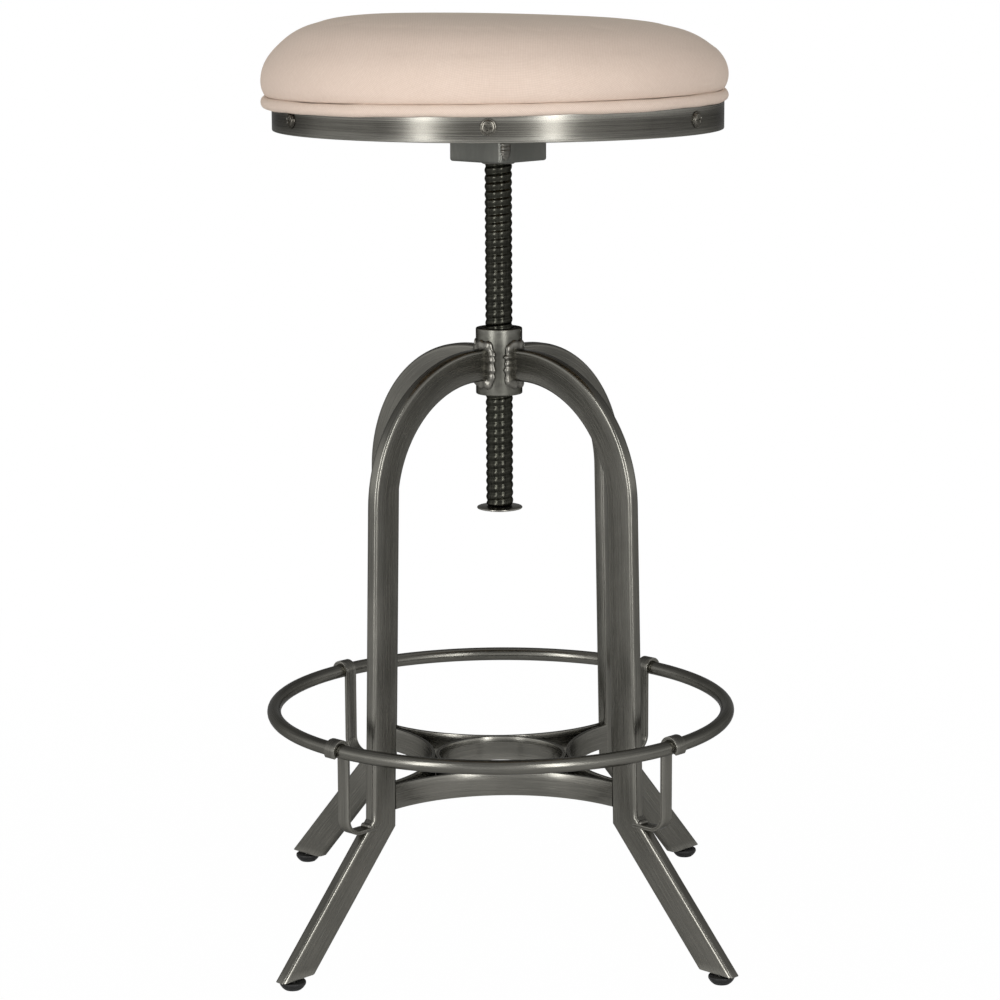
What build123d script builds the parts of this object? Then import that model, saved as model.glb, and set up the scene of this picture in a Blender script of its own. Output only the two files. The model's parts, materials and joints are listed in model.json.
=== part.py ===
from build123d import *
import math
import os

# Swivel stool: a round padded seat on a lead screw that winds through the hub of a
# four-legged tube frame with a foot ring.  Millimetres, +Z up, origin on the floor
# under the lead screw, -Y towards the front.

# Seat
CUSHION_R = 180.0            # widest radius of the padded top
CUSHION_CROWN = 68.0         # crown above the seat board
COVER_T = 1.6                # fabric and its lining
CROWN_FLAT_IN = 90.0         # edge of the nearly flat crown, inside the widest radius
CROWN_FLAT_DROP = 2.5        # and below the crown
SHOULDER_IN = 42.5           # start of the shoulder, inside the widest radius
SHOULDER_DROP = 9.1          # and below the crown
ROLL_IN = 18.5               # middle of the shoulder, inside the widest radius
ROLL_DROP = 20.0             # and below the crown
SIDE_RISE = 19.0             # widest radius above the seat board
CORNER_IN = 5.5              # point where the shoulder rolls into the side, inside the widest radius
CORNER_DROP = 32.8           # and below the crown
PIPING_R = 4.5               # radius of the piping cord
PIPING_GAP = 0.4             # piping to cover and to the rim band
TUCK_ANGLE = 84.0            # where the cover meets the piping, degrees up round the cord
RIM_IN = 6.0                 # outside of the rim band, inside the widest radius
RIM_T = 2.0
RIM_H = 18.5
RIM_BOTTOM_Z = 635.5
RIM_SCREWS = 6
RIM_SCREW_ANGLE = -93.8      # azimuth of the first screw from +X towards +Y, degrees
RIM_SCREW_UP = 11.6          # screws above the band's lower edge
SCREW_SHANK_R = 2.2
SCREW_SHANK_L = 22.0
SCREW_FLANGE_R = 6.4
SCREW_FLANGE_T = 1.0
SCREW_HEAD_R = 4.8
SCREW_HEAD_H = 2.6
SCREW_HEAD_EDGE = 1.4        # straight edge of the pan head
SCREW_CROWN_R = 2.9          # flat crown of the pan head
SCREW_SEAT = 0.1             # under the heads
BOARD_T = 15.0
BOARD_FIT = 0.2              # board inside the rim band
BAR_T = 4.5                  # seat cross bars
BAR_W = 30.0
BAR_SHORT = 16.0             # bar ends short of the rim band's inside
BAR_SCREW_R = 2.0            # wood screws through the bars into the board
BAR_SCREW_L = 13.0
BAR_SCREW_HEAD_R = 4.2
BAR_SCREW_HEAD_H = 2.4
BAR_SCREW_CROWN_R = 2.9
BAR_SCREW_INNER = 62.0       # inner wood screws from the axis
BAR_SCREW_END = 18.0         # outer wood screws from the bar's end
BLOCK_SIDE = 54.0            # square block that holds the lead screw
BLOCK_H = 25.0
BLOCK_CORNER_R = 2.5
BLOCK_EDGE_R = 2.0
BLOCK_ANGLE = 46.0           # one corner of the block faces the front, degrees
SCREW_HOLE_FIT = 0.15        # screws in their holes
OVERCUT = 1.0                # how far cuts run past the faces that they open

# Lead screw and its stop
LEAD_R = 10.7                # crest radius of the lead screw
LEAD_BORE_FIT = 0.05         # lead screw welded into the block
LEAD_SOCKET = 23.0           # depth of the lead screw inside the block
LEAD_L = 293.5
STOP_R = 17.9
STOP_T = 3.0
STOP_PLAY = 0.3              # play of the stop washer along its bolt
STOP_SIDE_PLAY = 0.45        # and across it
STOP_EDGE_R = 0.75
STOP_BOLT_R = 4.0
STOP_BOLT_L = 22.0
STOP_BOLT_HEAD_R = 7.6
STOP_BOLT_HEAD_H = 2.4

# Frame
HUB_R = 18.2
HUB_H = 52.0
HUB_BOTTOM_Z = 429.0
HUB_FIT = 0.3                # lead screw in the hub
HUB_CHAMFER = 1.0
LEG_DEPTH = 25.0             # oblong leg tube, in the plane of its arch
LEG_W = 10.5                 # and across it
LEG_EDGE_R = 2.4             # rounded edges of the tube
LEG_WALL = 1.5
LEG_R = 135.0                # leg's centreline at its lower bend, from the axis
LEG_LEAN = 1.5               # how far the long stretch leans out, degrees from the upright
ARM_OUT = 28.7               # where the level arm runs into the arch, from the axis
ARM_Z = 453.4                # centreline of the arm where it meets the hub
BEND_Z = 109.7               # lower bend, above the splayed foot
BEND_R = 14.5                # centreline radius of the lower bend
SPLAY = 42.0                 # splay of the foot, degrees from the upright
LEG_END_Z = 7.8              # level cut of the leg's end
LEGS = 4
LEG_START = 45.0             # azimuth of the first leg
RING_R = 180.5               # centreline of the foot ring
RING_BAR_R = 5.5
RING_Z = 176.0
STRIP_W = 11.0               # ring brackets
STRIP_T = 3.0
STRIP_FIT = 0.1              # bracket collar round the ring bar
STRIP_BEND_R = 12.0          # centreline radius of the lower bend
STRIP_FOOT_Z = 108.0         # level of the welded lower end
STRIP_HOOK = 215.0           # how far the collar curls round the bar, degrees
BRACE_Z = 118.3              # lower edge of the brace strips
BRACE_H = 19.5
BRACE_T = 3.0
BRACE_RING_R = 52.3          # outside of the round strip in the middle
BRACE_ARC_R = 118.0          # centreline radius of the four arcs
BRACE_GAP = 0.1              # between an arc and the ring where they are welded

# Levelling glides
GLIDE_OUT = 2.6              # glides outside the leg's centreline at its cut end
PAD_TOP_R = 10.0
PAD_FOOT_R = 7.0
PAD_H = 6.5
PAD_SKIRT = 2.5              # straight edge at the top of the pad
STUD_R = 3.0
STUD_UP = 6.5                # stud above the leg's cut end
STUD_SOCKET = 4.0            # stud sunk in the pad
STUD_FIT = 0.3
PLUG_DEPTH = 8.0
PLUG_FIT = 0.15

RIM_R = CUSHION_R - RIM_IN
CROWN_FLAT_R = CUSHION_R - CROWN_FLAT_IN
BAR_L = 2 * (RIM_R - RIM_T - BAR_SHORT)
BOARD_Z = RIM_BOTTOM_Z + BAR_T
CUSHION_Z = BOARD_Z + BOARD_T
CROWN_Z = CUSHION_Z + CUSHION_CROWN
BOARD_R = RIM_R - RIM_T - BOARD_FIT
RIM_TOP_Z = RIM_BOTTOM_Z + RIM_H
PIPING_Z = RIM_TOP_Z + PIPING_R + PIPING_GAP
PIPING_RING_R = CUSHION_R - PIPING_R
BLOCK_Z = RIM_BOTTOM_Z - BLOCK_H
LEAD_TOP_Z = BLOCK_Z + LEAD_SOCKET
LEAD_BOTTOM_Z = LEAD_TOP_Z - LEAD_L
HUB_TOP_Z = HUB_BOTTOM_Z + HUB_H
KNEE_R = LEG_R - (ARM_Z - BEND_Z) * math.tan(math.radians(LEG_LEAN))
LEG_ARCH_R = (KNEE_R - ARM_OUT) / math.tan(math.radians(45 - LEG_LEAN / 2))
GLIDE_R = LEG_R + (BEND_Z - LEG_END_Z) * math.tan(math.radians(SPLAY)) + GLIDE_OUT
CORNERS = ("front_right", "rear_right", "rear_left", "front_left")
SIDES = ("right", "rear", "left", "front")


def rod(radius, bottom_z, top_z):
    """Upright round bar on the axis."""
    return Pos(0, 0, bottom_z) * Cylinder(
        radius, top_z - bottom_z, align=(Align.CENTER, Align.CENTER, Align.MIN))


def tube_ring(outer, inner, bottom_z, top_z):
    """Upright round wall on the axis."""
    return rod(outer, bottom_z, top_z) - rod(inner, bottom_z, top_z)


def turned(shape, azimuth):
    """Shape turned about the axis from +X towards +Y."""
    return Rot(0, 0, azimuth) * shape


def turned_profile(points):
    """Solid turned on the axis from straight-edged (radius, height) points."""
    return revolve(make_face(Polyline([(r, 0, z) for r, z in points], close=True)), axis=Axis.Z)


def group(shapes):
    """Separate solids kept together in one node."""
    return Compound(children=[solid for shape in shapes for solid in shape.solids()])


def save(shape, node):
    """Write one piece under its node name."""
    export_step(shape, f"parts/{node}.step")


def cushion_half(inset):
    """Half section of the padded top, drawn in above the piping, at a given inset."""
    crown = (0, CROWN_Z)
    flat = (CROWN_FLAT_R, CROWN_Z - CROWN_FLAT_DROP)
    shoulder = (CUSHION_R - SHOULDER_IN, CROWN_Z - SHOULDER_DROP)
    roll = (CUSHION_R - ROLL_IN, CROWN_Z - ROLL_DROP)
    corner = (CUSHION_R - CORNER_IN, CROWN_Z - CORNER_DROP)
    side = (CUSHION_R, CUSHION_Z + SIDE_RISE)
    tuck, groove, waist = (
        (PIPING_RING_R + (PIPING_R + PIPING_GAP) * math.cos(math.radians(a)),
         PIPING_Z + (PIPING_R + PIPING_GAP) * math.sin(math.radians(a)))
        for a in (TUCK_ANGLE, (TUCK_ANGLE + 180) / 2, 180))
    hem = (waist[0], CUSHION_Z - BOARD_T)
    middle = (-CROWN_FLAT_R, CROWN_Z - CROWN_FLAT_DROP)
    top = ThreePointArc(middle, crown, flat)
    edge = [top]
    knots = (flat, shoulder, roll, corner, side, tuck)
    for start, end in zip(knots, knots[1:]):
        edge.append(TangentArc(start, end, tangent=edge[-1] % 1))
    edge.append(ThreePointArc(tuck, groove, waist))
    edge.append(Polyline(waist, hem, (middle[0], hem[1]), middle))
    face = make_face(edge)
    if inset:
        face = offset(face, -inset)
    window = Pos(CUSHION_R, CUSHION_Z + CUSHION_R) * Rectangle(2 * CUSHION_R, 2 * CUSHION_R)
    return Plane.XZ * (face & window)


def rim_screw_places():
    """Azimuths of the rim screws."""
    return [RIM_SCREW_ANGLE + i * 360 / RIM_SCREWS for i in range(RIM_SCREWS)]


def bar_screw_places():
    """Plan places of the wood screws along both cross bars."""
    outer = BAR_L / 2 - BAR_SCREW_END
    reach = (-outer, -BAR_SCREW_INNER, BAR_SCREW_INNER, outer)
    return [Rot(0, 0, azimuth) * Pos(x, 0, 0)
            for azimuth in (BLOCK_ANGLE, BLOCK_ANGLE + 90) for x in reach]


def radial_pin(radius, start, end, height, azimuth):
    """Round pin that lies along a radius."""
    pin = Cylinder(radius, end - start, align=(Align.CENTER, Align.CENTER, Align.MIN))
    return turned(Pos(start, 0, height) * Rot(0, 90, 0) * pin, azimuth)


def make_seat():
    """Padded top, board, rim band, cross bars, block and all their screws."""
    cushion = revolve(cushion_half(0), axis=Axis.Z)
    foam = revolve(cushion_half(COVER_T), axis=Axis.Z)
    save(cushion - foam, "seat_cover")
    save(foam, "foam_pad")
    save(Pos(0, 0, PIPING_Z) * Torus(PIPING_RING_R, PIPING_R), "seat_piping")

    screw_z = RIM_BOTTOM_Z + RIM_SCREW_UP
    shank_end = RIM_R - SCREW_SHANK_L
    holes = [radial_pin(SCREW_SHANK_R + SCREW_HOLE_FIT, shank_end - OVERCUT, RIM_R + OVERCUT, screw_z, a)
             for a in rim_screw_places()]
    wood_top = BOARD_Z + BAR_SCREW_L
    pilots = [place * rod(BAR_SCREW_R + SCREW_HOLE_FIT, RIM_BOTTOM_Z - OVERCUT, wood_top + OVERCUT)
              for place in bar_screw_places()]
    save(tube_ring(RIM_R, RIM_R - RIM_T, RIM_BOTTOM_Z, RIM_TOP_Z) - holes, "rim_band")
    save(rod(BOARD_R, BOARD_Z, CUSHION_Z) - holes - pilots, "seat_board")

    head_face = RIM_R + SCREW_SEAT
    head = turned_profile([
        (0, 0), (SCREW_FLANGE_R, 0), (SCREW_FLANGE_R, SCREW_FLANGE_T),
        (SCREW_HEAD_R, SCREW_FLANGE_T), (SCREW_HEAD_R, SCREW_FLANGE_T + SCREW_HEAD_EDGE),
        (SCREW_CROWN_R, SCREW_FLANGE_T + SCREW_HEAD_H), (0, SCREW_FLANGE_T + SCREW_HEAD_H)])
    head = Pos(head_face, 0, screw_z) * Rot(0, 90, 0) * head
    save(group([turned(head, a) + radial_pin(
        SCREW_SHANK_R, shank_end, head_face + SCREW_FLANGE_T, screw_z, a)
        for a in rim_screw_places()]), "rim_screws")

    bar = Pos(0, 0, RIM_BOTTOM_Z) * Box(
        BAR_L, BAR_W, BAR_T, align=(Align.CENTER, Align.CENTER, Align.MIN))
    notch = Pos(0, 0, RIM_BOTTOM_Z) * Box(
        BAR_W, BAR_W, BAR_T / 2, align=(Align.CENTER, Align.CENTER, Align.MIN))
    upper = turned(bar - notch, BLOCK_ANGLE)
    lower = turned(bar - Pos(0, 0, BAR_T / 2) * notch, BLOCK_ANGLE + 90)
    save(upper - pilots, "cross_bar_upper")
    save(lower - pilots, "cross_bar_lower")
    head_bottom = RIM_BOTTOM_Z - BAR_SCREW_HEAD_H
    wood_screw = turned_profile([
        (0, head_bottom), (BAR_SCREW_CROWN_R, head_bottom), (BAR_SCREW_HEAD_R, RIM_BOTTOM_Z),
        (BAR_SCREW_R, RIM_BOTTOM_Z), (BAR_SCREW_R, wood_top), (0, wood_top)])
    save(group([place * wood_screw for place in bar_screw_places()]), "bar_screws")

    block = Pos(0, 0, BLOCK_Z) * Box(
        BLOCK_SIDE, BLOCK_SIDE, BLOCK_H, align=(Align.CENTER, Align.CENTER, Align.MIN))
    block = fillet(block.edges().filter_by(Axis.Z), BLOCK_CORNER_R)
    block = fillet(block.faces().sort_by(Axis.Z)[0].edges(), BLOCK_EDGE_R)
    socket = rod(LEAD_R + LEAD_BORE_FIT, BLOCK_Z - OVERCUT, LEAD_TOP_Z + LEAD_BORE_FIT)
    save(turned(block, BLOCK_ANGLE) - socket, "seat_block")


def make_lead_screw():
    """Lead screw, the washer trapped at its lower end and the bolt that traps it."""
    washer_top = LEAD_BOTTOM_Z - STOP_PLAY
    washer_bottom = washer_top - STOP_T
    cone_top_r = STOP_BOLT_HEAD_R - STOP_BOLT_HEAD_H
    cone_top_z = washer_bottom + STOP_BOLT_HEAD_H
    bolt_top = LEAD_BOTTOM_Z + STOP_BOLT_L
    bolt = turned_profile([
        (0, washer_bottom), (STOP_BOLT_HEAD_R, washer_bottom),
        (cone_top_r, cone_top_z), (STOP_BOLT_R, cone_top_z),
        (STOP_BOLT_R, bolt_top), (0, bolt_top)])
    seat = turned_profile([
        (0, washer_bottom - OVERCUT),
        (STOP_BOLT_HEAD_R + STOP_SIDE_PLAY + OVERCUT, washer_bottom - OVERCUT),
        (cone_top_r + STOP_SIDE_PLAY, cone_top_z),
        (cone_top_r + STOP_SIDE_PLAY, washer_top + OVERCUT), (0, washer_top + OVERCUT)])
    thread_hole = rod(STOP_BOLT_R + LEAD_BORE_FIT, LEAD_BOTTOM_Z - OVERCUT, bolt_top + OVERCUT)
    screw = chamfer(rod(LEAD_R, LEAD_BOTTOM_Z, LEAD_TOP_Z).edges(), HUB_CHAMFER)
    save(screw - thread_hole, "lead_screw")
    washer = rod(STOP_R, washer_bottom, washer_top)
    washer = fillet(washer.edges(), STOP_EDGE_R)
    save(washer - seat, "stop_washer")
    save(bolt, "stop_bolt")


def leg_run(section):
    """Section carried along arm, arch, long stretch and splayed foot of a leg in the XZ plane, cut level."""
    start = (HUB_R - LEG_WALL * 2, 0, ARM_Z)
    knee = (KNEE_R, 0, ARM_Z)
    shin = (LEG_R - (RING_Z - BEND_Z) * math.tan(math.radians(LEG_LEAN)), 0, RING_Z)
    bend = (LEG_R, 0, BEND_Z)
    toe = (LEG_R + (BEND_Z + LEG_DEPTH) * math.tan(math.radians(SPLAY)), 0, -LEG_DEPTH)
    path = Wire([*FilletPolyline(start, knee, shin, radius=LEG_ARCH_R).edges(),
                 *FilletPolyline(shin, bend, toe, radius=BEND_R).edges()])
    run = sweep(Plane(start, x_dir=(0, 0, 1), z_dir=(1, 0, 0)) * section, path=path)
    return split(run, bisect_by=Plane.XY.offset(LEG_END_Z), keep=Keep.TOP)


def leg_core(inset):
    """Square-edged run inside a leg, at a given inset."""
    return leg_run(Rectangle(LEG_DEPTH - 2 * inset, LEG_W - 2 * inset))


def make_legs():
    """Hub, four hollow legs, the plugs in their ends and the levelling glides."""
    hub = chamfer(tube_ring(HUB_R, LEAD_R + HUB_FIT, HUB_BOTTOM_Z, HUB_TOP_Z).edges(), HUB_CHAMFER)
    save(hub, "hub")
    outer = leg_run(RectangleRounded(LEG_DEPTH, LEG_W, LEG_EDGE_R))
    leg = outer - leg_core(LEG_WALL) - rod(HUB_R, HUB_BOTTOM_Z - HUB_H, HUB_TOP_Z + HUB_H)

    plug_top = Plane.XY.offset(LEG_END_Z + PLUG_DEPTH)
    plug = split(leg_core(LEG_WALL + PLUG_FIT), bisect_by=plug_top, keep=Keep.BOTTOM)
    stud_top = LEG_END_Z + STUD_UP
    stud_bottom = PAD_H - STUD_SOCKET
    at_glide = Pos(GLIDE_R, 0, 0)
    plug -= at_glide * rod(STUD_R + STUD_FIT, 0, stud_top + LEG_DEPTH)
    pad = turned_profile([
        (0, 0), (PAD_FOOT_R, 0), (PAD_TOP_R, PAD_H - PAD_SKIRT), (PAD_TOP_R, PAD_H), (0, PAD_H)])
    pad -= rod(STUD_R + PLUG_FIT, stud_bottom, PAD_H + OVERCUT)
    stud = rod(STUD_R, stud_bottom, stud_top)
    for i, corner in enumerate(CORNERS):
        azimuth = LEG_START - 90 + i * 360 / LEGS
        save(turned(leg, azimuth), f"leg_{corner}")
        save(turned(plug, azimuth), f"leg_plug_{corner}")
        save(turned(at_glide * pad, azimuth), f"glide_pad_{corner}")
        save(turned(at_glide * stud, azimuth), f"glide_stud_{corner}")
    return outer


def make_foot_ring(leg_outside):
    """Foot ring and the four brackets that hold it to the legs."""
    save(Pos(0, 0, RING_Z) * Torus(RING_R, RING_BAR_R), "foot_ring")
    curl = RING_BAR_R + STRIP_FIT + STRIP_T / 2
    drop = RING_R - curl
    turn = math.radians(180 - STRIP_HOOK)
    tip = (RING_R + curl * math.cos(turn), 0, RING_Z + curl * math.sin(turn))
    over = (RING_R, 0, RING_Z + curl)
    inside = (drop, 0, RING_Z)
    path = Wire([
        *ThreePointArc(tip, (RING_R + curl * math.cos(turn / 2 + math.pi / 4), 0,
                             RING_Z + curl * math.sin(turn / 2 + math.pi / 4)), over).edges(),
        *ThreePointArc(over, (RING_R - curl * math.sqrt(0.5), 0, RING_Z + curl * math.sqrt(0.5)),
                       inside).edges(),
        *FilletPolyline(inside, (drop, 0, STRIP_FOOT_Z), (LEG_R, 0, STRIP_FOOT_Z),
                        radius=STRIP_BEND_R).edges()])
    section = Plane(tip, x_dir=(0, 1, 0), z_dir=path % 0) * Rectangle(STRIP_W, STRIP_T)
    bracket = (sweep(section, path=path) - leg_outside).solids().sort_by(Axis.X)[-1]
    for i, corner in enumerate(CORNERS):
        save(turned(bracket, LEG_START - 90 + i * 360 / LEGS), f"ring_bracket_{corner}")


def make_brace(leg_outside):
    """Round strip in the middle and the four arcs from leg to leg that touch it."""
    top = BRACE_Z + BRACE_H
    save(tube_ring(BRACE_RING_R, BRACE_RING_R - BRACE_T, BRACE_Z, top), "brace_ring")
    centre = BRACE_RING_R + BRACE_GAP + BRACE_T / 2 + BRACE_ARC_R
    hoop = Pos(centre, 0, 0) * tube_ring(
        BRACE_ARC_R + BRACE_T / 2, BRACE_ARC_R - BRACE_T / 2, BRACE_Z, top)
    reach = LEG_R * math.sqrt(0.5)
    hoop &= Pos(0, 0, BRACE_Z) * Box(
        2 * reach, 2 * reach, BRACE_H, align=(Align.CENTER, Align.CENTER, Align.MIN))
    half = 180 / LEGS
    hoop -= [turned(leg_outside, half), turned(leg_outside, -half)]
    arc = hoop.solids().sort_by(SortBy.VOLUME)[-1]
    for i, side in enumerate(SIDES):
        save(turned(arc, i * 360 / LEGS), f"brace_arc_{side}")


os.makedirs("parts", exist_ok=True)
make_seat()
make_lead_screw()
leg_outside = make_legs()
make_foot_ring(leg_outside)
make_brace(leg_outside)
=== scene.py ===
"""Swivel stool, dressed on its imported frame.

A round linen seat on a lead screw that winds through the hub of an arched tube frame with a foot
ring.  Blender objects are in metres, +Z up, the lead screw on the Z axis, the front towards -Y.
Sizes below are millimetres, as on a drawing, and turn to metres when a mesh is made.
"""

import json
import logging
import math
from dataclasses import dataclass, replace
from enum import Enum
from typing import Any, Optional, Sequence

import bpy
import numpy as np
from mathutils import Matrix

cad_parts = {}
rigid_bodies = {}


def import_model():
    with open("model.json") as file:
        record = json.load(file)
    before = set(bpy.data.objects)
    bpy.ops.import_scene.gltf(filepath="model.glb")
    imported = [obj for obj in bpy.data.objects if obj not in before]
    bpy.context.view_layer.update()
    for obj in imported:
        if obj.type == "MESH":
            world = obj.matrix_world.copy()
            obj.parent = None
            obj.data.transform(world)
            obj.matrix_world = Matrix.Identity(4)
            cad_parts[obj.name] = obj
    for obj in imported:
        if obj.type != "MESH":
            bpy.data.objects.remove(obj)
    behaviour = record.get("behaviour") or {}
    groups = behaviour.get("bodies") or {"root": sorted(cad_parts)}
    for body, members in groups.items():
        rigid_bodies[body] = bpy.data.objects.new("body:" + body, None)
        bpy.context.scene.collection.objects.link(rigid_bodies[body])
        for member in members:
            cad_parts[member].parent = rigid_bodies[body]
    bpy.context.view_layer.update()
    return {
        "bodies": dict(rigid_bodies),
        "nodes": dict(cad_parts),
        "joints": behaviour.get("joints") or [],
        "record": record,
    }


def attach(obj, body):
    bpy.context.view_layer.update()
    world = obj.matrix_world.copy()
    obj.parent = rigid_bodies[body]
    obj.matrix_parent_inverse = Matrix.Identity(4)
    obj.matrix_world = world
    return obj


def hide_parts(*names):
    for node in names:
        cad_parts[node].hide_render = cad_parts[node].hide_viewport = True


MM = 0.001
PER_M = 1000
GRAIN = "grain"
WEAR = "wear"
CORNERS = ("front_right", "rear_right", "rear_left", "front_left")
SIDES = ("right", "rear", "left", "front")
WHITE = (1, 1, 1, 1)
X_AXIS, Y_AXIS, Z_AXIS = np.eye(3)
NOISE_RANGE = (0.3, 0.7)        # where most of a noise's values lie
Array = np.ndarray
Socket = bpy.types.NodeSocket
log = logging.getLogger("swivel_stool")


@dataclass
class Surface:
    """Closed shell on a grid, in millimetres.

    Attributes:
        points: Corner points, n by 3.
        faces: Point numbers of each face's four corners, two of them alike at a pole.
        grain: Place along and across the grain at each of those corners.
        wear: How worn each point is, 0 to 1.
    """

    points: Array
    faces: Array
    grain: Array
    wear: Array


def linear(hex_code: str) -> tuple[float, float, float, float]:
    """Turn an sRGB hex colour into linear RGBA.

    Args:
        hex_code: Colour as #rrggbb.

    Returns:
        Red, green, blue and alpha.
    """
    tone = np.array([int(hex_code[i:i + 2], 16) for i in (1, 3, 5)]) / 255
    flat = np.where(tone <= 0.04045, tone / 12.92, ((tone + 0.055) / 1.055) ** 2.4)
    return (*flat.tolist(), 1.0)


def unit(vectors: Array) -> Array:
    """Scale vectors to length one."""
    return vectors / np.linalg.norm(vectors, axis=-1, keepdims=True)


def spun(points: Array, azimuth: float) -> Array:
    """Turn points about the Z axis by an azimuth, in degrees from +X towards +Y."""
    c, s = math.cos(math.radians(azimuth)), math.sin(math.radians(azimuth))
    return points @ np.array([[c, s, 0], [-s, c, 0], [0, 0, 1]])


def arc(centre: Sequence[float], radius: float, start: float, end: float, count: int) -> Array:
    """Arc of count points in a plane: centre + radius (cos a, sin a), a in even steps of degrees."""
    a = np.radians(np.linspace(start, end, count))
    return np.stack([centre[0] + radius * np.cos(a), centre[1] + radius * np.sin(a)], -1)


def lengths(path: Array) -> Array:
    """Length run along a path up to each of its points."""
    return np.concatenate([[0], np.cumsum(np.linalg.norm(np.diff(path, axis=0), axis=1))])


def even(path: Array, step: float) -> Array:
    """Respace a path: linear in its run length, at equal steps.

    Args:
        path: Points of the path.
        step: Wanted spacing.

    Returns:
        The path at that spacing, ends kept.
    """
    run = lengths(path)
    at = np.linspace(0, run[-1], max(3, round(run[-1] / step)))
    return np.stack([np.interp(at, run, path[:, k]) for k in range(path.shape[1])], -1)


def polar(radius: Any, azimuth: Array, z: Any) -> Array:
    """Points at a radius from the axis, an azimuth in radians and a height."""
    return np.stack(np.broadcast_arrays(radius * np.cos(azimuth), radius * np.sin(azimuth), z), -1)


def in_xz(path: Array) -> Array:
    """Stand a plane path up in the XZ plane."""
    return np.insert(path, 1, 0, axis=1)


def lifted(path: Array, z: float) -> Array:
    """Lay a plane path level at a height."""
    return np.insert(path, 2, z, axis=1)


def tangent_arcs(knots: Sequence[tuple[float, float]], heading: tuple[float, float], count: int) -> Array:
    """Chain of arcs through knots, each leaving in the direction in which the last arrived.

    The centre lies on the normal n at the start p, at the radius |q - p|^2 / (2 (q - p) . n).

    Args:
        knots: Points in a plane.
        heading: Direction at the first knot.
        count: Points on each arc.

    Returns:
        The sampled chain.
    """
    run, t = [np.array(knots[0])[None]], np.array(heading, float)
    for p, q in zip(np.array(knots[:-1]), np.array(knots[1:])):
        n, chord = np.array([t[1], -t[0]]), q - p
        radius = chord @ chord / (2 * (chord @ n))
        sweep = 2 * math.atan2(chord @ n, chord @ t)
        a = np.linspace(0, sweep, count)[1:, None]
        run.append(p + radius * (np.sin(a) * t + (1 - np.cos(a)) * n))
        t = math.cos(sweep) * t + math.sin(sweep) * n
    return np.concatenate(run)


def circle_loop(radius: float, count: int) -> Array:
    """Closed round section."""
    return arc((0, 0), radius, 0, 360 * (1 - 1 / count), count)


def box_loop(thick: float, wide: float, edge: float, count: int = 4) -> Array:
    """Closed oblong section with rounded corners.

    Args:
        thick: Size along the first section axis.
        wide: Size along the second.
        edge: Corner radius.
        count: Points on each corner.

    Returns:
        Section points, 4 count + 8 by 2, with three points along each straight side.
    """
    x, y = thick / 2 - edge, wide / 2 - edge
    corners = [arc(c, edge, a, a + 90, count)
               for c, a in (((x, y), 0), ((-x, y), 90), ((-x, -y), 180), ((x, -y), 270))]
    parts = []
    for here, after in zip(corners, corners[1:] + corners[:1]):
        parts += [here, here[-1] + (after[0] - here[-1]) * np.array([[1 / 3], [2 / 3]])]
    return np.concatenate(parts)


def corner_wear(loop: Array) -> Array:
    """Wear at the corners of a section, by how sharply it turns there.

    Args:
        loop: Closed section.

    Returns:
        Wear of each point, 0 to 1.
    """
    ahead, behind = unit(np.roll(loop, -1, 0) - loop), unit(loop - np.roll(loop, 1, 0))
    turn = np.arccos(np.clip((ahead * behind).sum(-1), -1, 1))
    return np.clip(turn / math.radians(15), 0, 1)


def shell(points: Array, along: Array, across: Array, ring: bool = False, wear: Optional[Array] = None,
          poles: Optional[Sequence[Array]] = None) -> Surface:
    """Close a grid of section loops into a shell whose faces point outwards.

    Each row is a closed loop.  The rows follow each other in a ring, or the first and last are drawn
    together to a pole.  The faces are turned round where the volume, a sixth of the summed triple
    products of their corners, comes out negative.

    Args:
        points: Rows by columns by 3.
        along: Grain place of each row, one more than the rows for a ring.
        across: Grain place of each column, and one more that closes the loop.
        ring: Whether the last row joins the first.
        wear: Wear of the points, rows by columns.
        poles: Both poles, the middles of the end rows if not given.

    Returns:
        The closed shell.
    """
    n, m = points.shape[:2]
    number = np.arange(n * m).reshape(n, m)
    flat = points.reshape(-1, 3)
    worn = np.broadcast_to(0.0 if wear is None else wear, (n, m)).reshape(-1)
    if ring:
        number = np.concatenate([number, number[:1]])
    else:
        number = np.concatenate([np.full((1, m), n * m), number, np.full((1, m), n * m + 1)])
        cap = np.linalg.norm(points[0, 0] - points[0].mean(0))
        along = np.concatenate([[along[0] - cap], along, [along[-1] + cap]])
        flat = np.concatenate([flat, points[[0, -1]].mean(1) if poles is None else poles])
        worn = np.append(worn, [0, 0])
    number = np.concatenate([number, number[:, :1]], 1)
    place = np.stack(np.broadcast_arrays(along[:, None], across), -1)
    rows = len(number) - 1
    corners = ((0, 0), (1, 0), (1, 1), (0, 1))
    faces = np.stack([number[i:rows + i, j:m + j].reshape(-1) for i, j in corners], 1)
    grain = np.stack([place[i:rows + i, j:m + j].reshape(-1, 2) for i, j in corners], 1)
    a, b, c, d = flat[faces].swapaxes(0, 1)
    if (a * (np.cross(b, c) + np.cross(c, d))).sum() < 0:
        faces, grain = faces[:, ::-1], grain[:, ::-1]
    return Surface(flat, faces, grain, worn)


def closed_lengths(loop: Array) -> Array:
    """Length round a closed section up to each point and back to the first."""
    return lengths(np.concatenate([loop, loop[:1]]))


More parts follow.
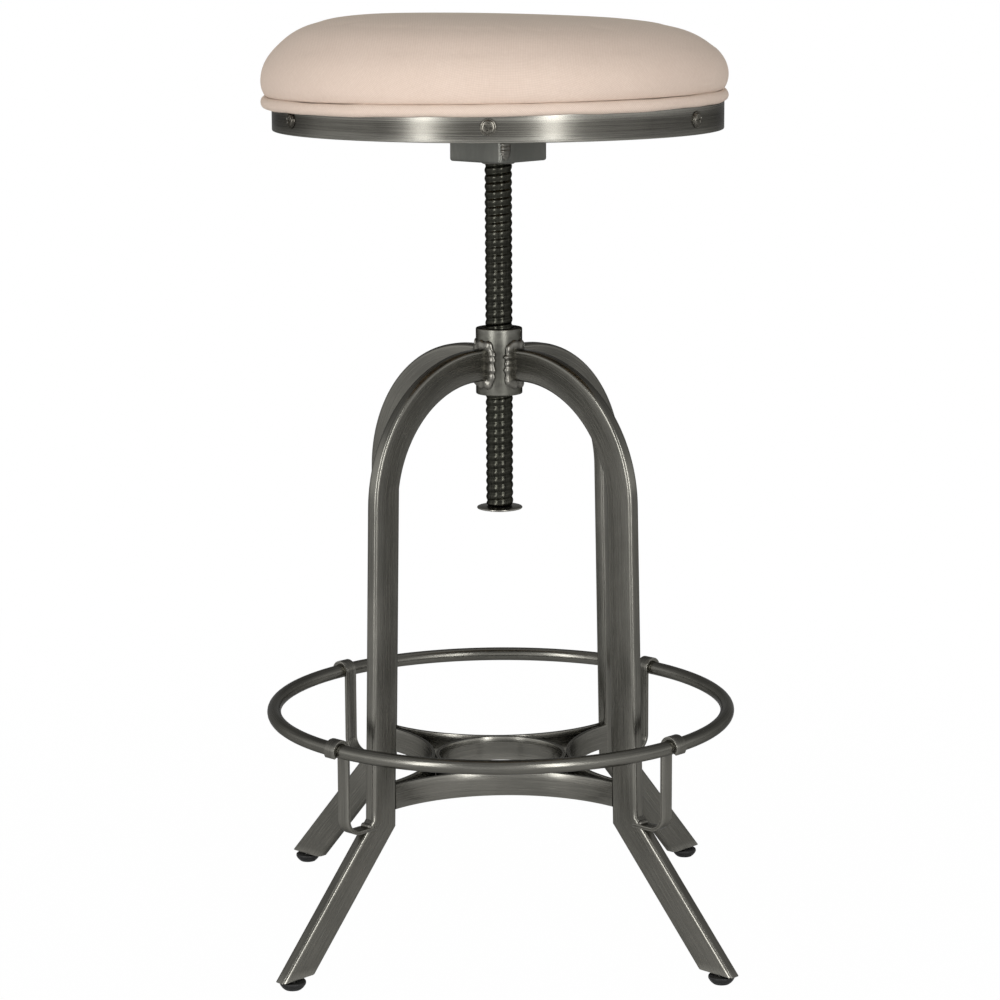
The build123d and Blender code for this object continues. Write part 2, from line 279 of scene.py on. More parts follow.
def carried(loop: Array, path: Array, side: Array, ring: bool = False, wear: Optional[Array] = None,
            swell: Optional[Array] = None) -> Surface:
    """Carry a section along a path: point = path + s (a (side x tangent) + b side).

    Args:
        loop: Closed section, its first axis across the side, its second along it.
        path: Points of the path.
        side: Direction that stays square to the path.
        ring: Whether the path closes.
        wear: Wear round the section.
        swell: Scale s of the section at each point of the path.

    Returns:
        The carried shell.
    """
    tangent = (np.roll(path, -1, 0) - np.roll(path, 1, 0)) if ring else np.gradient(path, axis=0)
    normal = unit(np.cross(side, unit(tangent)))
    size = 1.0 if swell is None else swell[:, None, None]
    points = path[:, None] + size * (loop[:, :1] * normal[:, None] + loop[:, 1:] * side)
    run = closed_lengths(path) if ring else lengths(path)
    return shell(points, run, closed_lengths(loop), ring, wear)


def turned(profile: Array, count: int, wear: Optional[Array] = None, closed: bool = False) -> Surface:
    """Turn a (radius, height) profile about the axis.

    Args:
        profile: Points from one pole to the other, the poles left out, or a closed section.
        count: Steps round the axis.
        wear: Wear round a closed section.
        closed: Whether the profile is a closed section, which makes a hoop.

    Returns:
        The turned shell, its grain running round the axis.
    """
    a = np.linspace(0, 2 * math.pi, count, endpoint=False)
    girth = np.linspace(0, 2 * math.pi, count + 1)
    radius, height = profile[:, :1], profile[:, 1:]
    points = polar(radius, a, height)
    if closed:
        return shell(points.swapaxes(0, 1), girth * radius.mean(), closed_lengths(profile), True, wear)
    poles = tuple(z * Z_AXIS for z in (profile[0, 1], profile[-1, 1]))
    made = shell(points, lengths(profile), girth * radius.max(), poles=poles)
    made.grain = made.grain[..., ::-1]
    return made


def placed(made: Surface, azimuth: float = 0, shift: Sequence[float] = (0, 0, 0)) -> Surface:
    """Copy of a shell, shifted and then turned about the axis."""
    return replace(made, points=spun(made.points + np.array(shift), azimuth))


def four(made: Surface, start: float = -45) -> list[Surface]:
    """Four copies of a shell a quarter turn apart, the first turned to the start."""
    return [placed(made, start + 90 * k) for k in range(4)]


def bead(path: Array, side: Array, radius: float, ring: bool = False, ripple: float = 2.6,
         lump: float = 0.05, proud: float = 1.0) -> Surface:
    """Weld bead: a round run that swells once in each ripple, laid a little unevenly.

    Args:
        path: Middle of the bead.
        side: Direction square to the path.
        radius: Radius of the bead.
        ring: Whether the bead closes.
        ripple: Length of one ripple.
        lump: How unevenly it was laid.
        proud: Its height along the side, as a share of its half width.

    Returns:
        The bead.
    """
    path = even(np.concatenate([path, path[:1]]) if ring else path, ripple / 6)
    path = path[:-1] if ring else path
    run = lengths(path)
    uneven = lump * np.sin(run * 0.9) * np.sin(run * 0.23 + 0.8)
    swell = 0.92 + 0.16 * np.abs(np.sin(math.pi * run / ripple)) + uneven
    if not ring:
        swell = swell * np.sqrt(np.clip(np.minimum(run, run[-1] - run) / radius, 0.08, 1))
    return carried(circle_loop(radius, 14) * np.array([1.0, proud]), path, side, ring, swell=swell)


def mesh_of(name: str, surfaces: Sequence[Surface], sharp: float) -> bpy.types.Mesh:
    """Put shells into one mesh with its grain map and wear.

    Args:
        name: Name of the mesh.
        surfaces: Shells, in millimetres.
        sharp: Edges that turn more than this many degrees stay sharp.

    Returns:
        The mesh, in metres.
    """
    starts = np.cumsum([0] + [len(s.points) for s in surfaces])
    faces = np.concatenate([s.faces + k for s, k in zip(surfaces, starts)])
    points = np.concatenate([s.points for s in surfaces]) * MM
    # Of two corners that meet at a pole, one is left out.
    kept = faces != np.roll(faces, -1, 1)
    mesh = bpy.data.meshes.new(name)
    rings = [face[keep].tolist() for face, keep in zip(faces, kept)]
    mesh.from_pydata(points.tolist(), [], rings, shade_flat=False)
    grain = np.concatenate([s.grain for s in surfaces])[kept]
    mesh.uv_layers.new(name=GRAIN).data.foreach_set("uv", grain.astype(np.float32).reshape(-1))
    worn = mesh.attributes.new(WEAR, "FLOAT", "POINT")
    worn.data.foreach_set("value", np.concatenate([s.wear for s in surfaces]).astype(np.float32))
    mesh.set_sharp_from_angle(angle=math.radians(sharp))
    mesh.validate()
    return mesh


def points_of(mesh: bpy.types.Mesh) -> Array:
    """Read the points of a mesh.

    Args:
        mesh: The mesh.

    Returns:
        Its points, in millimetres.
    """
    flat = np.empty(len(mesh.vertices) * 3, np.float32)
    mesh.vertices.foreach_get("co", flat)
    return flat.reshape(-1, 3) / MM


def add_piece(name: str, surfaces: Sequence[Surface], material: bpy.types.Material, nodes: Sequence[str] = (),
              body: str = "base", sharp: float = 40) -> bpy.types.Object:
    """Make one piece, give it its finish and let it ride on a body.

    Args:
        name: Name of the piece.
        surfaces: Its shells.
        material: Its finish.
        nodes: CAD nodes that it stands for.
        body: Body that it moves with.
        sharp: Edge angle that stays sharp, degrees.

    Returns:
        The new object.
    """
    piece = bpy.data.objects.new(name, mesh_of(name, surfaces, sharp))
    piece.data.materials.append(material)
    bpy.context.scene.collection.objects.link(piece)
    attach(piece, body)
    if nodes:
        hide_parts(*nodes)
    log.info("%s: %d faces on %s", name, len(piece.data.polygons), body)
    return piece


class Nodes:
    """Node tree of a finish or of the world, with the kinds of node that they share."""

    def __init__(self, owner: Any, shader: str = "Principled BSDF") -> None:
        """Start the tree.

        Args:
            owner: New material or world.
            shader: Name of the shader that it starts with.
        """
        owner.use_nodes = True
        self.owner = owner
        self.tree = owner.node_tree
        self.shader = self.tree.nodes[shader]

    def done(self, inputs: dict[str, Any]) -> Any:
        """Set the shader's inputs and hand the material or world over."""
        self.feed(self.shader, inputs)
        return self.owner

    def feed(self, node: bpy.types.Node, inputs: dict[Any, Any]) -> None:
        """Set or link inputs of a node.

        Args:
            node: The node.
            inputs: Value or linked socket of each named or numbered input.
        """
        for key, value in inputs.items():
            if isinstance(value, Socket):
                self.tree.links.new(value, node.inputs[key])
            else:
                node.inputs[key].default_value = value

    def add_node(self, kind: str, inputs: dict[Any, Any], out: Any = 0, **settings: str) -> Socket:
        """Add one shader node with its inputs and settings.

        Args:
            kind: Node type, without the ShaderNode before it.
            inputs: Value or linked socket of each named or numbered input.
            out: Name or number of the output.
            settings: Properties of the node.

        Returns:
            That output.
        """
        made = self.tree.nodes.new("ShaderNode" + kind)
        for key, value in settings.items():
            setattr(made, key, value)
        self.feed(made, inputs)
        return made.outputs[out]

    def place(self) -> Socket:
        """Object coordinates, in metres."""
        return self.add_node("TexCoord", {}, "Object")

    def grain(self) -> Socket:
        """Grain map, in millimetres along and across the surface."""
        return self.add_node("UVMap", {}, uv_map=GRAIN)

    def drawn(self, where: Socket, scale: Sequence[float]) -> Socket:
        """Coordinates times a scale for each axis."""
        return self.add_node("Mapping", {"Vector": where, "Scale": scale})

    def noise(self, where: Socket, scale: float, detail: float, rough: float = 0.5) -> Socket:
        """Cloudy noise, 0 to 1, its clumps about 1 / scale across."""
        inputs = {"Vector": where, "Scale": scale, "Detail": detail, "Roughness": rough}
        return self.add_node("TexNoise", inputs)

    def bands(self, where: Socket, axis: str, width: float, waver: dict[str, float]) -> Socket:
        """Wavering bands along an axis; a wave's bands repeat every pi / 10 at scale 1."""
        inputs = {"Vector": where, "Scale": math.pi / 10 / width, **waver}
        return self.add_node("TexWave", inputs, 1, bands_direction=axis)

    def mix(self, share: float, first: Socket, second: Socket) -> Socket:
        """Mix of two numbers."""
        return self.add_node("Mix", {0: share, 2: first, 3: second})

    def tint(self, share: Socket, first: Any, second: Any) -> Socket:
        """Mix of two colours."""
        return self.add_node("Mix", {0: share, 6: first, 7: second}, 2, data_type="RGBA")

    def ranged(self, value: Socket, ends: Sequence[float], to: Sequence[Any] = (0.0, 1.0),
               kind: str = "LINEAR") -> Socket:
        """Number carried from one range to another, and held at its ends."""
        inputs = dict(enumerate([value, *ends, *to]))
        return self.add_node("MapRange", inputs, interpolation_type=kind)

    def arithmetic(self, operation: str, *values: Any) -> Socket:
        """Sum, product or the like of numbers."""
        return self.add_node("Math", dict(enumerate(values)), operation=operation)

    def bump(self, height: Socket, strength: float, deep: float = 0.2) -> Socket:
        """Normals of a relief that many millimetres deep."""
        return self.add_node("Bump", {"Strength": strength, "Distance": deep * MM, "Height": height})


class Place(Enum):
    """Where a finish takes its pattern's coordinates from."""

    GRAIN_MAP = "grain map, millimetres along and across the surface"
    OBJECT = "object coordinates, metres"


@dataclass(frozen=True)
class BrushedSteel:
    """Steel brushed along its grain, then darkened and lacquered.

    The eye sees fine streaks along the piece, smoky patches, and bright metal at rubbed edges.
    """

    name: str
    deep: str
    pale: str
    rubbed: str
    roughness: float
    streak_w: float = 0.9       # finer on the real metal; drawn this coarse so that it shows
    streak_l: float = 45.0
    patch: float = 70.0
    streak_share: float = 0.55
    relief: float = 0.05
    glance: str = "#b0b0b0"     # tint of what it mirrors at a grazing angle
    place: Place = Place.GRAIN_MAP
    contrast: tuple[float, float] = (0.32, 0.68)
    uneven: tuple[float, float] = (0.035, 0.045)     # smoother and rougher by, along the streaks

    def make(self) -> bpy.types.Material:
        """Build the material.

        Returns:
            The finish.
        """
        coat = Nodes(bpy.data.materials.new(self.name))
        if self.place is Place.GRAIN_MAP:
            along = coat.drawn(coat.grain(), (1 / self.streak_l, 1 / self.streak_w, 1))
        else:
            fine, long = PER_M / self.streak_w, PER_M / self.streak_l
            along = coat.drawn(coat.place(), (fine, fine, long))
        streak = coat.noise(along, 1.0, 3.0, 0.6)
        smoke = coat.noise(coat.place(), PER_M / self.patch, 4.0, 0.55)
        both = coat.mix(self.streak_share, smoke, streak)
        tone = coat.ranged(both, self.contrast, kind="SMOOTHSTEP")
        colour = coat.tint(tone, linear(self.deep), linear(self.pale))
        rough = (self.roughness - self.uneven[0], self.roughness + self.uneven[1])
        worn = coat.add_node("Attribute", {}, "Fac", attribute_name=WEAR)
        return coat.done({
            "Base Color": coat.tint(coat.arithmetic("MULTIPLY", worn, streak), colour, linear(self.rubbed)),
            "Metallic": 1.0,
            "Specular Tint": linear(self.glance),
            "Roughness": coat.ranged(streak, NOISE_RANGE, rough),
            "Normal": coat.bump(streak, self.relief)})


@dataclass(frozen=True)
class MouldedPlastic:
    """Plastic with a fine spark-eroded grain: a dull sheen that breaks up in small specks."""

    name: str
    colour: str
    pale: str
    roughness: float
    speck: float = 0.6
    scuff: float = 9.0

    def make(self) -> bpy.types.Material:
        """Build the material.

        Returns:
            The finish.
        """
        coat = Nodes(bpy.data.materials.new(self.name))
        speck = coat.noise(coat.place(), PER_M / self.speck, 2.0)
        scuff = coat.noise(coat.place(), PER_M / self.scuff, 4.0)
        return coat.done({
            "Base Color": coat.tint(scuff, linear(self.colour), linear(self.pale)),
            "Roughness": coat.ranged(scuff, NOISE_RANGE, (self.roughness - 0.08, self.roughness + 0.1)),
            "Normal": coat.bump(speck, 0.25)})


@dataclass(frozen=True)
class Linen:
    """Plain-woven linen: crossing threads, thicker slubs along both, a soft dry sheen at the edges."""

    name: str
    base: str
    pale: str
    # colour of the random darker flecks and of the painted shade between the threads
    fleck_and_gap_shade: str
    sheen: str
    thread: float = 1.25
    slub: float = 12.0          # length of the thicker threads
    slub_w: float = 1.2
    heather: float = 2.6        # size of the paler and darker flecks
    cloud: float = 60.0         # and of the faint clouds

    def make(self) -> bpy.types.Material:
        """Build the material.

        Returns:
            The finish.
        """
        coat = Nodes(bpy.data.materials.new(self.name))
        cloth = coat.grain()
        waver = {"Distortion": 1.6, "Detail": 2.0, "Detail Scale": 0.6, "Detail Roughness": 0.6}
        weave = coat.arithmetic("MULTIPLY", *(coat.bands(cloth, axis, self.thread, waver) for axis in "XY"))
        fine, long = 1 / self.slub_w, 1 / self.slub
        threads = (coat.drawn(cloth, scale) for scale in ((long, fine, 1), (fine, long, 1)))
        slub = coat.arithmetic("ADD", *(coat.noise(run, 0.7, 2.0) for run in threads))
        mottle = coat.mix(0.55, *(coat.noise(cloth, 1 / size, 3.0) for size in (self.cloud, self.heather)))
        yarn = coat.tint(coat.ranged(slub, (0.5, 1.5)), linear(self.base), linear(self.pale))
        # Painted shade: the colour darkens in the gaps between the threads, and also at random in the flecks
        # and clouds of the mottle; depth is the share of that darker colour.
        painted_gap_shade = coat.ranged(weave, (0.0, 0.5), (0.4, 0.0))
        depth = coat.arithmetic("MULTIPLY_ADD", mottle, 0.6, painted_gap_shade)
        height = coat.arithmetic("MULTIPLY_ADD", slub, 0.3, weave)
        return coat.done({
            "Base Color": coat.tint(depth, yarn, linear(self.fleck_and_gap_shade)),
            "Roughness": 0.92,
            "Specular IOR Level": 0.2,
            "Sheen Weight": 0.16,
            "Sheen Tint": linear(self.sheen),
            "Sheen Roughness": 0.5,
            "Normal": coat.bump(height, 0.22, 0.4)})


@dataclass(frozen=True)
class Plywood:
    """Raw plywood: long pale grain with darker growth lines."""

    name: str
    early: str
    late: str
    ring: float = 15.0
    fibre: float = 1.2

    def make(self) -> bpy.types.Material:
        """Build the material.

        Returns:
            The finish.
        """
        coat = Nodes(bpy.data.materials.new(self.name))
        drawn = coat.drawn(coat.place(), (0.12, 1.0, 5.0))
        lines = coat.bands(drawn, "Y", self.ring * MM, {"Distortion": 9.0, "Detail": 3.0})
        fibre = coat.noise(drawn, PER_M / self.fibre, 3.0)
        return coat.done({
            "Base Color": coat.tint(coat.mix(0.5, lines, fibre), linear(self.early), linear(self.late)),
            "Roughness": 0.7,
            "Normal": coat.bump(fibre, 0.2)})


class Finishes:
    """All finishes of the stool, each built once."""

    def __init__(self) -> None:
        """Build the materials."""
        self.linen = Linen("woven_linen", "#dbc7b9", "#e3d2c5", "#c4b0a1", "#b9bfae").make()
        self.plywood = Plywood("raw_plywood", "#9c8768", "#7a6446").make()
        self.gunmetal = BrushedSteel("brushed_gunmetal", "#6d6c66", "#85837c", "#b0aea6", 0.25,
                                     relief=0.012).make()
        self.rim = BrushedSteel("brushed_rim_steel", "#5b5954", "#77756e", "#a9a79f", 0.27,
                                streak_l=80.0, relief=0.02).make()
        self.ground = BrushedSteel("ground_steel", "#6a6b66", "#797a75", "#a5a49d", 0.38, 3.0, 12.0,
                                   streak_share=0.25, relief=0.02).make()
        self.hub = BrushedSteel("turned_hub_steel", "#504f4a", "#63635b", "#93928b", 0.36, 4.0, 7.0,
                                streak_share=0.3, relief=0.03, glance="#202020").make()
        self.weld = BrushedSteel("weld_bead", "#73716b", "#8b8982", "#b5b3ab", 0.33, 1.9, 2.8,
                                 relief=0.35).make()
        self.oiled = BrushedSteel("oiled_black_steel", "#272723", "#41413a", "#75736c", 0.22, 1.5, 8.0).make()
        self.zinc = BrushedSteel("dull_zinc", "#8d8b84", "#bdbbb4", "#dcdad3", 0.27, 0.8, 2.5).make()
        self.antique = BrushedSteel("antiqued_screw_steel", "#4e4b45", "#7d7a72", "#d0cec6", 0.26,
                                    0.8, 2.5).make()
        self.black_bar = BrushedSteel("black_bar_steel", "#3d3c39", "#585651", "#9d9b94", 0.45,
                                      place=Place.OBJECT).make()
        self.plastic = MouldedPlastic("moulded_black_plastic", "#0a0a0a", "#141413", 0.5).make()


@dataclass
class SubAssembly:
    """Pieces that are built together.

    Attributes:
        finish: Finishes of the stool.
    """

    finish: Finishes
    frame: dict[str, Any]

    def dress(self, material: bpy.types.Material, *nodes: str) -> None:
        """Give CAD nodes that stay in view a finish.

        Args:
            material: The finish.
            nodes: Node names.
        """
        for name in nodes:
            slots = self.frame["nodes"][name].data.materials
            slots.clear()
            slots.append(material)
            log.info("%s: %s", name, material.name)


@dataclass
class PaddedTop(SubAssembly):
    """Linen-covered seat pad, drawn in above a piping cord."""

    radius: float = 180.0
    crown_z: float = 722.0
    flat: tuple[float, float] = (90.0, 1.6)         # edge of the flat crown: radius, drop
    shoulder: tuple[float, float] = (137.5, 7.2)
    roll: tuple[float, float] = (161.5, 17.9)
    corner: tuple[float, float] = (174.5, 31.2)
    side_z: float = 674.0
    cord_r: float = 4.5
    cord_ring_r: float = 175.5
    cord_z: float = 658.9
    cover_gap: float = 0.15
    tuck_angle: float = 84.0     # where the cover meets the cord, degrees round it
    hem_in: float = 1.5
    hem_z: float = 655.3
    swell: float = 0.6           # how far the pressed pad may swell
    seam_rows: int = 14          # rows of the cover that the seam holds
    pucker: float = 0.35         # depth of the gathers above the seam
    pucker_h: float = 16.0       # and the height in which they fade
    slide: float = -2.6          # the pad sits a little to the left of the rim
    tilt: float = 0.7            # and its seam a little lower there, degrees
    crown_tilt: float = -1.35    # while the crown is a little higher there, degrees
    row_step: float = 3.0
    round_steps: int = 192
    cord_steps: int = 288
    settle_frames: int = 20

    def meridian(self) -> Array:
        """Half section from crown to hem: tangent arcs to the tuck, an arc round the cord, then in.

        Returns:
            Radius and height of each point.
        """
        z = self.crown_z - self.swell / 2
        reach = self.cord_r + self.cover_gap
        groove = arc((self.cord_ring_r, self.cord_z), reach, self.tuck_angle, 180, count=12)
        bends = [(out, z - drop) for out, drop in (self.flat, self.shoulder, self.roll, self.corner)]
        side = (self.radius - self.swell / 2, self.side_z)
        knots = [(0.0, z), *bends, side, tuple(groove[0])]
        top = even(tangent_arcs(knots, (1, 0), count=24), self.row_step)
        hem = np.array([[self.cord_ring_r - reach - self.hem_in, self.hem_z]])
        return np.concatenate([top[1:], groove[1:], hem])

    def askew(self, points: Array) -> Array:
        """Slide the sewn top sideways and lean it by x tan(tilt), the tilt easing up to the crown's.

        Args:
            points: Points of the level top.

        Returns:
            The points as they were sewn.
        """
        up = np.clip((points[:, 2] - self.cord_z) / (self.crown_z - self.cord_z), 0, 1) ** 2
        lean = np.tan(np.radians(self.tilt + (self.crown_tilt - self.tilt) * up))
        return points + self.slide * X_AXIS + (points[:, 0] * lean)[:, None] * Z_AXIS

    def press(self, pad: bpy.types.Object, held: Array) -> Array:
        """Fill the cover: cloth under pressure for a few frames, each move capped at the swell.

        Args:
            pad: The cover.
            held: Which points the piping seam holds.

        Returns:
            The settled points, in millimetres.
        """
        before = points_of(pad.data)
        pad.vertex_groups.new(name="seam").add(np.flatnonzero(held).tolist(), 1.0, "REPLACE")
        cloth = pad.modifiers.new("fill", "CLOTH")
        rules = cloth.settings
        rules.quality, rules.mass = 6, 0.3
        rules.tension_stiffness = rules.compression_stiffness = 12
        rules.shear_stiffness, rules.bending_stiffness = 6, 2
        rules.use_pressure, rules.uniform_pressure_force = True, 4
        rules.effector_weights.gravity = 0
        rules.vertex_group_mass = "seam"
        for moment in range(1, self.settle_frames + 1):
            bpy.context.scene.frame_set(moment)
        settled = pad.evaluated_get(bpy.context.evaluated_depsgraph_get())
        after = points_of(settled.data)
        pad.modifiers.remove(cloth)
        pad.vertex_groups.clear()
        bpy.context.scene.frame_set(1)
        move = after - before
        size = np.linalg.norm(move, axis=1, keepdims=True)
        log.info("pad swells by %.2f mm at most, %.2f on average", size.max(), size.mean())
        return before + move * np.minimum(1, self.swell / np.maximum(size, 1e-6))

    def build(self) -> None:
        """Make the cover and its piping."""
        half = self.meridian()
        made = turned(half, self.round_steps)
        azimuth = np.arctan2(made.points[:, 1], made.points[:, 0])
        outward = polar(1, azimuth, 0)
        # The weave lies flat on the crown: each point keeps its run from the middle.
        run = np.concatenate([np.repeat(half[0, 0] + lengths(half), self.round_steps), [0, 0]])
        made.grain = (run[:, None] * outward[:, :2])[made.faces]
        pad = add_piece("linen_cover", [made], self.finish.linen, ["seat_cover", "foam_pad"], "seat")
        sewn = np.arange(len(half)) >= len(half) - self.seam_rows
        held = np.concatenate([np.repeat(sewn, self.round_steps), [False, True]])
        points = self.press(pad, held)
        above = np.clip((points[:, 2] - self.cord_z - self.cord_r) / self.pucker_h, 0, 4)
        gathers = (np.sin(37 * azimuth + 1.1) * np.sin(5 * azimuth + 0.4)
                   + 0.6 * np.sin(61 * azimuth + 2.0 * np.sin(3 * azimuth)))
        pull = np.where(held, 0, self.pucker * np.exp(-above) * gathers)
        points = self.askew(points + pull[:, None] * outward) * MM
        pad.data.vertices.foreach_set("co", points.astype(np.float32).reshape(-1))
        pad.data.update()
        smooth = pad.modifiers.new("smooth", "SUBSURF")
        smooth.levels = smooth.render_levels = 1
        self.build_cord()

    def build_cord(self) -> None:
        """Piping: a round cord on a circle whose radius and height waver by fractions of a millimetre."""
        a = np.linspace(0, 2 * math.pi, self.cord_steps, endpoint=False)
        ring = self.cord_ring_r + 0.35 * np.sin(7 * a + 0.6) * np.sin(3 * a) + 0.2 * np.sin(19 * a)
        height = self.cord_z + 0.25 * np.sin(4 * a + 2.0) + 0.15 * np.sin(9 * a + 0.7) + 0.1 * np.sin(23 * a)
        thick = 1 + 0.035 * np.sin(11 * a + 0.3) + 0.02 * np.sin(31 * a)
        made = carried(circle_loop(self.cord_r, 20), polar(ring, a, height), Z_AXIS, True, swell=thick)
        # The strip round the cord is cut on the bias, so its weave runs askew to the cord.
        along, across = made.grain[..., 0], made.grain[..., 1]
        made.grain = np.stack([along + across, across - along], -1) * math.sqrt(0.5)
        made.points = self.askew(made.points)
        add_piece("seat_piping_cord", [made], self.finish.linen, ["seat_piping"], "seat")


@dataclass
class RimBand(SubAssembly):
    """Rolled band round the seat board, with its cross-recessed screws."""

    radius: float = 174.0
    thick: float = 2.0
    bottom_z: float = 635.5
    height: float = 21.0         # up to where the piping hides it
    edge: float = 0.7
    round_steps: int = 288
    screw_angle: float = -93.8
    screw_up: float = 11.6
    flange_r: float = 6.4
    flange_h: float = 0.8
    head_r: float = 4.8
    head_h: float = 1.9
    side_h: float = 0.9          # straight side of the head, below its dome
    recess: tuple[float, float, float] = (3.1, 0.75, 1.5)     # reach, half width and depth of the cross
    turns: tuple[float, ...] = (18.0, 65.0, 40.0, 8.0, 77.0, 33.0)      # of each screw's cross, degrees

    def arm(self, across: Array, along: Array) -> Array:
        """One arm of the cross: 1 inside, easing to 0 at its sides and its ends."""
        reach, half = self.recess[:2]
        return np.clip((half - np.abs(across)) / 0.25, 0, 1) * np.clip((reach - np.abs(along)) / 0.5, 0, 1)

    def screw(self, turn: float) -> Surface:
        """Pan head: a domed height over a disc, less the depth of the cross inside either arm.

        Args:
            turn: How far the cross is turned, degrees.

        Returns:
            The head, its axis along +Z from 0.
        """
        side_top = self.flange_h + self.side_h
        rim = np.array([[self.flange_r, -0.3], [self.flange_r, 0.5], [self.flange_r - 0.15, 0.85],
                        [self.flange_r - 0.5, self.flange_h], [self.head_r + 0.25, self.flange_h],
                        [self.head_r, self.flange_h + 0.25], [self.head_r, side_top]])
        dome_r = np.linspace(self.head_r - 0.1, 0.12, 34)
        dome_h = side_top + (self.head_h - self.side_h) * np.sqrt(1 - (dome_r / (self.head_r + 0.05)) ** 2)
        made = turned(np.concatenate([rim, np.stack([dome_r, dome_h], -1)]), 72)
        x, y = spun(made.points, turn)[:, :2].T
        cut = np.maximum(self.arm(x, y), self.arm(y, x)) * (made.points[:, 2] > side_top + 0.05)
        made.points[:, 2] -= self.recess[2] * cut * (3 - 2 * cut) * cut
        made.wear = np.clip(4 * cut * (1 - cut), 0, 1)
        return made

    def build(self) -> None:
        """Make the band and its screws."""
        loop = box_loop(self.thick, self.height, self.edge) + np.array(
            [self.radius - self.thick / 2, self.bottom_z + self.height / 2])
        band = turned(loop, self.round_steps, corner_wear(loop), True)
        add_piece("rim_band_brushed", [band], self.finish.rim, ["rim_band"], "seat")
        heads = []
        for k, turn in enumerate(self.turns):
            head = self.screw(turn)
            y, z, out = head.points.T
            head.points = np.stack([out + self.radius, y, z + self.bottom_z + self.screw_up], -1)
            heads.append(placed(head, self.screw_angle + k * 360 / len(self.turns)))
        add_piece("rim_screw_heads", heads, self.finish.antique, ["rim_screws"], "seat", 60)


@dataclass
class SeatBlock(SubAssembly):
    """Square block that holds the lead screw, welded up at one corner, and what lies above it."""

    side: float = 54.0
    bottom_z: float = 610.5
    top_z: float = 635.5
    corner_r: float = 2.5
    edge_r: float = 2.0
    angle: float = 46.0
    seam_in: float = 5.8         # from the corner to the middle of its weld
    seam_r: float = 5.0
    collar_r: float = 11.4       # weld round the screw

    def block(self) -> Surface:
        """Block with rounded upright corners and a rolled lower edge.

        Returns:
            The block, its sides along X and Y.
        """
        a = np.radians(np.linspace(0, 90, 6))
        inset = np.concatenate([self.edge_r * (1 - np.sin(a)), np.zeros(4)])
        height = np.concatenate([self.bottom_z + self.edge_r * (1 - np.cos(a)),
                                 np.linspace(self.bottom_z + self.edge_r + 2, self.top_z, 4)])
        loops = []
        for inward in inset:
            wide = self.side - 2 * inward
            loops.append(box_loop(wide, wide, max(self.corner_r - inward * 0.9, 0.4), count=6))
        points = np.stack([lifted(loop, z) for loop, z in zip(loops, height)])
        return shell(points, height, closed_lengths(loops[-1]), False, corner_wear(loops[-1])[None] * 0.6)

    def build(self) -> None:
        """Make the block and its welds, and finish the bars, screws and board over it."""
        half = self.side / 2
        x, y = half + 0.2, self.seam_in - half
        run = np.linspace([x, y, self.bottom_z + 2.5], [x, y, self.top_z - 1], 24)
        seam = bead(run, X_AXIS, self.seam_r, ripple=2.8, lump=0.04, proud=0.36)
        collar = bead(lifted(circle_loop(self.collar_r, 48), self.bottom_z - 0.4), Z_AXIS, 1.8, True)
        block = placed(self.block(), self.angle)
        add_piece("seat_block_welded", [block], self.finish.ground, ["seat_block"], "seat")
        add_piece("seat_block_welds", [placed(seam, self.angle - 90), collar], self.finish.weld, body="seat")
        self.dress(self.finish.black_bar, "cross_bar_upper", "cross_bar_lower")
        self.dress(self.finish.zinc, "bar_screws")
        self.dress(self.finish.plywood, "seat_board")


@dataclass
class LeadScrew(SubAssembly):
    """Single-start knuckle-threaded screw, with its stop washer and bolt."""

    crest_r: float = 10.7
    depth: float = 1.1
    pitch: float = 6.25
    bottom_z: float = 340.0
    top_z: float = 633.5
    chamfer: float = 1.4
    rows: int = 640
    round_steps: int = 56
    rub: float = 0.16            # how far down its crests are rubbed
    stop_r: float = 17.9
    stop_t: float = 3.0
    stop_play: float = 0.3
    stop_edge: float = 0.75
    stop_rim: float = 4.0
    bolt_r: float = 8.4

    def thread(self) -> Surface:
        """Screw: radius = crest - depth (1 - sqrt(cos^2(pi t) + e)), t = z / pitch - azimuth / turn.

        Returns:
            The threaded screw.
        """
        z = np.linspace(self.bottom_z, self.top_z, self.rows)[:, None]
        a = np.linspace(0, 2 * math.pi, self.round_steps, endpoint=False)[None]
        t = z / self.pitch - a / (2 * math.pi)
        radius = self.crest_r - self.depth * (1 - np.sqrt(np.cos(math.pi * t) ** 2 * 0.96 + 0.03))
        from_end = np.minimum(z - self.bottom_z, self.top_z - z)
        radius = np.minimum(radius, self.crest_r - self.chamfer + from_end)
        worn = np.clip((radius - self.crest_r + self.rub) / self.rub, 0, 1) * 0.12
        girth = np.linspace(0, 2 * math.pi * self.crest_r, self.round_steps + 1)
        return shell(polar(radius, a, z), z[:, 0], girth, False, worn)

    def build(self) -> None:
        """Make the screw and its stop, and finish the bolt."""
        add_piece("lead_screw_threaded", [self.thread()], self.finish.oiled, ["lead_screw"], "seat",
                  75)
        top = self.bottom_z - self.stop_play
        low = top - self.stop_t
        edge = arc((self.stop_r - self.stop_edge, (top + low) / 2), self.stop_edge, -80, 80, count=9)
        face = self.stop_r - self.stop_rim
        loop = np.concatenate([edge, [[face, top], [self.bolt_r, top], [self.bolt_r, low], [face, low]]])
        disc = turned(loop, 96, corner_wear(loop), True)
        add_piece("stop_disc", [disc], self.finish.gunmetal, ["stop_washer"], "lift", sharp=50)
        self.dress(self.finish.oiled, "stop_bolt")


